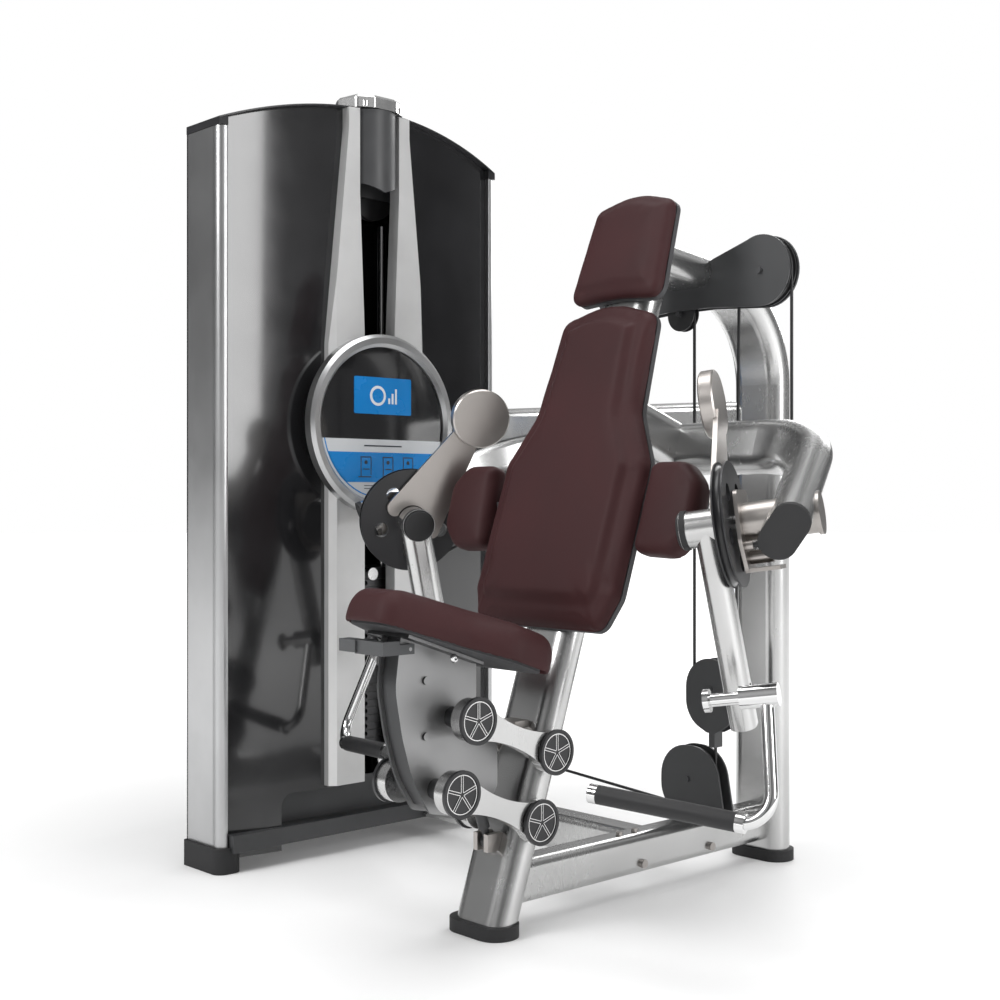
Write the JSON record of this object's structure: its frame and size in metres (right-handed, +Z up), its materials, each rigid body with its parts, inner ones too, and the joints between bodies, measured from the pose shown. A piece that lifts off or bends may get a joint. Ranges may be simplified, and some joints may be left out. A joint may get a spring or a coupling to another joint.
{
  "type": "selectorised seated exercise machine",
  "caption": "Selectorised strength machine: raked post with seat, back, head and side pads, two counterweighted lever arms with grips, cable pulleys and a shrouded weight tower.",
  "frame": {"origin": "middle of the front foot on the floor", "axes": "+Z up, +X to the seated user's left, +Y from the front foot to the rear post"},
  "size_m": [1.3546, 1.0739, 1.572],
  "materials": {
    "silver_frame": "satin",
    "brushed_steel": "brushed",
    "chrome": "polished",
    "black_panel": "gloss",
    "dark_metal": "satin",
    "aluminium": "anodised",
    "light_trim": "satin",
    "black_rubber": "matte",
    "black_plastic": "matte",
    "pulley_plastic": "matte",
    "upholstery": "satin",
    "board": "matte",
    "cable_jacket": "satin",
    "weight_steel": "satin",
    "screen": "gloss"
  },
  "bodies": {
    "frame": {"rear_post": "silver_frame", "front_post": "silver_frame", "floor_beam": "silver_frame", "lateral_beam": "silver_frame", "upper_beam": "silver_frame", "arm_supports": "silver_frame", "pivot_brackets": "brushed_steel", "pulley_brackets": "dark_metal", "guide_cables": "cable_jacket", "guide_pulleys": "pulley_plastic", "frame_fittings": "brushed_steel", "rubber_feet": "black_rubber", "pad_boards": "board", "back_pad": "upholstery", "head_pad": "upholstery", "left_wing_pad": "upholstery", "right_wing_pad": "upholstery", "tower_base": "dark_metal", "tower_panels": "black_panel", "tower_columns": "aluminium", "tower_top_cap": "black_plastic", "tower_crown": "chrome", "tower_cover": "dark_metal", "tower_trims": "light_trim", "guide_rods": "chrome", "display_bezel": "aluminium", "display_face": "screen", "weight_plates": "weight_steel"},
    "left_arm": {"left_lever": "chrome", "left_counterweight": "brushed_steel", "left_cam": "black_panel"},
    "right_arm": {"right_lever": "chrome", "right_counterweight": "brushed_steel", "right_cam": "black_panel"},
    "left_hand_grip": {"left_handle": "chrome", "left_grip": "black_rubber"},
    "right_hand_grip": {"right_handle": "chrome", "right_grip": "black_rubber"},
    "left_knob": {"left_pull_knob": "black_plastic"},
    "right_knob": {"right_pull_knob": "black_plastic"},
    "upper_links": {"upper_seat_links": "silver_frame", "upper_link_caps": "black_plastic"},
    "lower_links": {"lower_seat_links": "silver_frame", "lower_link_caps": "black_plastic"},
    "seat": {"seat_carriage": "silver_frame", "seat_board": "board", "seat_pad": "upholstery"},
    "height_lever": {"seat_lever": "dark_metal"},
    "spring_cylinder": {"gas_spring_cylinder": "dark_metal"},
    "spring_rod": {"gas_spring_rod": "chrome"},
    "stack": {"stack_head": "weight_steel", "stack_cable": "cable_jacket"},
    "pin": {"selector_pin": "chrome"},
    "block": {"floating_block": "dark_metal", "block_cables": "cable_jacket", "lift_cable": "cable_jacket"},
    "block_wheel": {"floating_pulley": "pulley_plastic"},
    "left_wheel": {"left_upper_pulley": "pulley_plastic"},
    "right_wheel": {"right_upper_pulley": "pulley_plastic"},
    "low_wheel": {"lower_pulley": "pulley_plastic"}
  },
  "joints": [
    {"name": "left_arm_swing", "type": "hinge", "parent": "frame", "child": "left_arm", "pos_m": [0.334, 0.133, 0.682], "axis": [-0.8823, -0.4497, -0.1392], "range_deg": [0, 110]},
    {"name": "right_arm_swing", "type": "hinge", "parent": "frame", "child": "right_arm", "pos_m": [-0.334, 0.133, 0.682], "axis": [-0.8823, 0.4497, 0.1392], "range_deg": [0, 110]},
    {"name": "left_handle_swivel", "type": "hinge", "parent": "left_arm", "child": "left_hand_grip", "pos_m": [0.42048, 0.11407, 0.42493], "axis": [-0.8823, -0.4497, -0.1392], "range_deg": [-40, 60]},
    {"name": "right_handle_swivel", "type": "hinge", "parent": "right_arm", "child": "right_hand_grip", "pos_m": [-0.42048, 0.11407, 0.42493], "axis": [-0.8823, 0.4497, 0.1392], "range_deg": [-40, 60]},
    {"name": "left_knob_pull", "type": "slide", "parent": "frame", "child": "left_knob", "axis": [0.8823, 0.4497, 0.1392], "range_m": [0, 0.01], "stiffness_N_per_m": 400},
    {"name": "right_knob_pull", "type": "slide", "parent": "frame", "child": "right_knob", "axis": [-0.8823, 0.4497, 0.1392], "range_m": [0, 0.01], "stiffness_N_per_m": 400},
    {"name": "seat_height", "type": "hinge", "parent": "frame", "child": "upper_links", "pos_m": [0, 0.0845, 0.305], "axis": [1, 0, 0], "range_deg": [0, 30]},
    {"name": "lower_link_swing", "type": "hinge", "parent": "frame", "child": "lower_links", "pos_m": [0, 0.049, 0.192], "axis": [1, 0, 0], "range_deg": [0, 30]},
    {"name": "seat_level", "type": "hinge", "parent": "upper_links", "child": "seat", "pos_m": [0, -0.0935, 0.376], "axis": [1, 0, 0], "range_deg": [-30, 0]},
    {"name": "height_lever_lift", "type": "hinge", "parent": "seat", "child": "height_lever", "pos_m": [0, -0.19, 0.494], "axis": [-1, 0, 0], "range_deg": [0, 12], "stiffness_Nm_per_rad": 2, "springref_deg": -5.73},
    {"name": "spring_tilt", "type": "hinge", "parent": "frame", "child": "spring_cylinder", "pos_m": [0, 0.008, 0.152], "axis": [1, 0, 0], "range_deg": [0, 15]},
    {"name": "spring_stroke", "type": "slide", "parent": "spring_cylinder", "child": "spring_rod", "axis": [0, -0.3093, 0.951], "range_m": [-0.09, 0]},
    {"name": "stack_lift", "type": "slide", "parent": "frame", "child": "stack", "axis": [0, 0, 1], "range_m": [0, 0.0904], "deforming": ["stack_cable"]},
    {"name": "selector_pin_pull", "type": "slide", "parent": "stack", "child": "pin", "axis": [1, 0, 0], "range_m": [0, 0.03]},
    {"name": "block_lift", "type": "slide", "parent": "frame", "child": "block", "axis": [0, 0, 1], "range_m": [0, 0.0904], "deforming": ["block_cables", "lift_cable"]},
    {"name": "block_wheel_turn", "type": "hinge", "parent": "block", "child": "block_wheel", "pos_m": [0.055, 0.55, 0.367], "axis": [0, 1, 0], "range_deg": [0, 110]},
    {"name": "left_wheel_turn", "type": "hinge", "parent": "frame", "child": "left_wheel", "pos_m": [0.173, 0.55, 1.156], "axis": [0, 1, 0], "range_deg": [0, 180]},
    {"name": "right_wheel_turn", "type": "hinge", "parent": "frame", "child": "right_wheel", "pos_m": [-0.173, 0.55, 1.156], "axis": [0, 1, 0], "range_deg": [-180, 0]},
    {"name": "low_wheel_turn", "type": "hinge", "parent": "frame", "child": "low_wheel", "pos_m": [0, 0.55, 0.188], "axis": [0, 1, 0], "range_deg": [-100, 0]}
  ],
  "couplings": [
    {"joint": "lower_link_swing", "follows": "seat_height", "ratio": 1},
    {"joint": "seat_level", "follows": "seat_height", "ratio": -1},
    {"joint": "spring_tilt", "follows": "seat_height", "ratio": 0.46},
    {"joint": "spring_stroke", "follows": "seat_height", "m_per_rad": -0.16},
    {"joint": "stack_lift", "follows": "right_arm_swing", "m_per_rad": 0.047},
    {"joint": "block_lift", "follows": "right_arm_swing", "m_per_rad": 0.047},
    {"joint": "block_wheel_turn", "follows": "right_arm_swing", "ratio": 0.94},
    {"joint": "right_wheel_turn", "follows": "right_arm_swing", "ratio": -1.5667},
    {"joint": "low_wheel_turn", "follows": "right_arm_swing", "ratio": -0.8246},
    {"joint": "left_wheel_turn", "follows": "left_arm_swing", "ratio": 1.5667}
  ]
}
